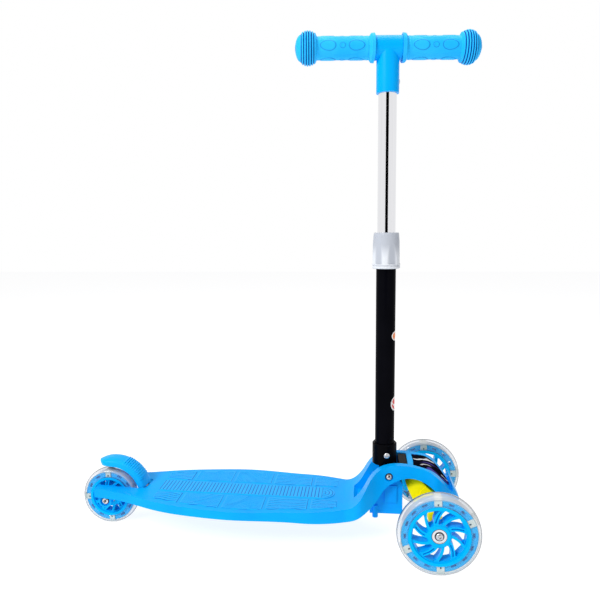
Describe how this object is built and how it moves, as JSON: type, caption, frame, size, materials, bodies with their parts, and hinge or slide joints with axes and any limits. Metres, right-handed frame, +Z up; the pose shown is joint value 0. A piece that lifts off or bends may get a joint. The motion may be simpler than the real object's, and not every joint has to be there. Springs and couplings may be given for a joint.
{
  "type": "kick scooter",
  "caption": "Child's lean-to-steer kick scooter: moulded deck with fork and arched nose, folding telescopic stem with turning handlebar, clear lamp wheels and heel brake.",
  "frame": {"origin": "on the floor under the middle of the scooter, midway between the rearmost and foremost points of the wheels", "axes": "+X forward, +Y to the rider's left, +Z up along the stem; the handlebar is stored turned 83.7 degrees from straight, so it lies nearly along X"},
  "size_m": [0.6425, 0.2432, 0.7819],
  "materials": {
    "blue_plastic": "injection-moulded polypropylene, satin",
    "blue_rubber": "soft moulded grip rubber, matte",
    "black_plastic": "moulded nylon, satin",
    "black_paint": "gloss powder coat on steel tube",
    "chrome_tube": "chrome plate on steel tube",
    "grey_plastic": "moulded plastic, satin",
    "yellow_plastic": "moulded nylon, satin",
    "steel": "zinc plated",
    "bearing_steel": "ground steel with metal shields",
    "spring_steel": "oiled spring wire",
    "magnet": "sintered ring on a sleeve",
    "black_rubber": "moulded rubber, matte",
    "clear_tyre": "cast clear polyurethane, gloss",
    "lamp_plastic": "milky lamp block"
  },
  "bodies": {
    "deck": {"deck_board": "blue_plastic", "nose_panel": "black_plastic", "fold_housing": "blue_plastic", "pivot_bolt": "steel", "pivot_nut": "steel", "button_spring": "spring_steel", "steering_bush": "black_rubber", "kingpin": "steel", "kingpin_nut": "steel", "rear_axle_bolt": "steel", "rear_axle_nut": "steel", "rear_spacers": "steel", "rear_wheel_magnet": "magnet", "brake_pin": "steel", "brake_spring": "spring_steel"},
    "button": {"fold_button": "black_plastic"},
    "stem": {"stem_socket": "black_plastic", "socket_screws": "steel", "outer_tube": "black_paint", "lock_wedge": "grey_plastic"},
    "collar": {"lock_collar": "grey_plastic"},
    "slider": {"guide_bush": "grey_plastic"},
    "handle": {"inner_tube": "chrome_tube", "tee_joint": "blue_plastic", "tee_screw": "steel", "handlebar_tube": "steel", "right_grip": "blue_rubber", "left_grip": "blue_rubber"},
    "brake": {"brake_fender": "blue_plastic", "brake_pad": "black_rubber"},
    "truck": {"truck_body": "yellow_plastic", "front_axle": "steel", "axle_bolts": "steel", "front_spacers": "steel", "left_wheel_magnet": "magnet", "right_wheel_magnet": "magnet"},
    "left_wheel": {"left_wheel_tyre": "clear_tyre", "left_wheel_rim": "blue_plastic", "left_wheel_lamps": "lamp_plastic", "left_wheel_bearings": "bearing_steel"},
    "right_wheel": {"right_wheel_tyre": "clear_tyre", "right_wheel_rim": "blue_plastic", "right_wheel_lamps": "lamp_plastic", "right_wheel_bearings": "bearing_steel"},
    "rear_wheel": {"rear_wheel_tyre": "clear_tyre", "rear_wheel_rim": "blue_plastic", "rear_wheel_lamps": "lamp_plastic", "rear_wheel_bearings": "bearing_steel"}
  },
  "joints": [
    {"name": "stem_fold", "type": "hinge", "parent": "deck", "child": "stem", "pos_m": [0.192, 0, 0.109], "axis": [0, -1, 0], "range_deg": [0, 85]},
    {"name": "button_press", "type": "slide", "parent": "deck", "child": "button", "axis": [0, 0, -1], "range_m": [0, 0.003], "stiffness_N_per_m": 600, "springref_m": -0.001, "deforming": ["button_spring"]},
    {"name": "collar_twist", "type": "hinge", "parent": "stem", "child": "collar", "pos_m": [0.1855, 0, 0.458], "axis": [0, 0, 1], "range_deg": [0, 45]},
    {"name": "handle_height", "type": "slide", "parent": "stem", "child": "slider", "axis": [0, 0, 1], "range_m": [-0.19, 0]},
    {"name": "handle_turn", "type": "hinge", "parent": "slider", "child": "handle", "pos_m": [0.1855, 0, 0.4], "axis": [0, 0, 1], "range_deg": [-96.3, 83.7]},
    {"name": "brake_press", "type": "hinge", "parent": "deck", "child": "brake", "pos_m": [-0.213, 0, 0.062], "axis": [0, -1, 0], "range_deg": [0, 6], "stiffness_Nm_per_rad": 4, "springref_deg": -4.58},
    {"name": "truck_steer", "type": "hinge", "parent": "deck", "child": "truck", "pos_m": [0.2395, 0, 0.08], "axis": [0.6428, 0, 0.766], "range_deg": [-12, 12], "stiffness_Nm_per_rad": 60},
    {"name": "left_wheel_spin", "type": "hinge", "parent": "truck", "child": "left_wheel", "pos_m": [0.2595, 0.109, 0.06], "axis": [0, 1, 0], "continuous": true},
    {"name": "right_wheel_spin", "type": "hinge", "parent": "truck", "child": "right_wheel", "pos_m": [0.2595, -0.109, 0.06], "axis": [0, 1, 0], "continuous": true},
    {"name": "rear_wheel_spin", "type": "hinge", "parent": "deck", "child": "rear_wheel", "pos_m": [-0.272, 0, 0.0475], "axis": [0, 1, 0], "continuous": true}
  ]
}
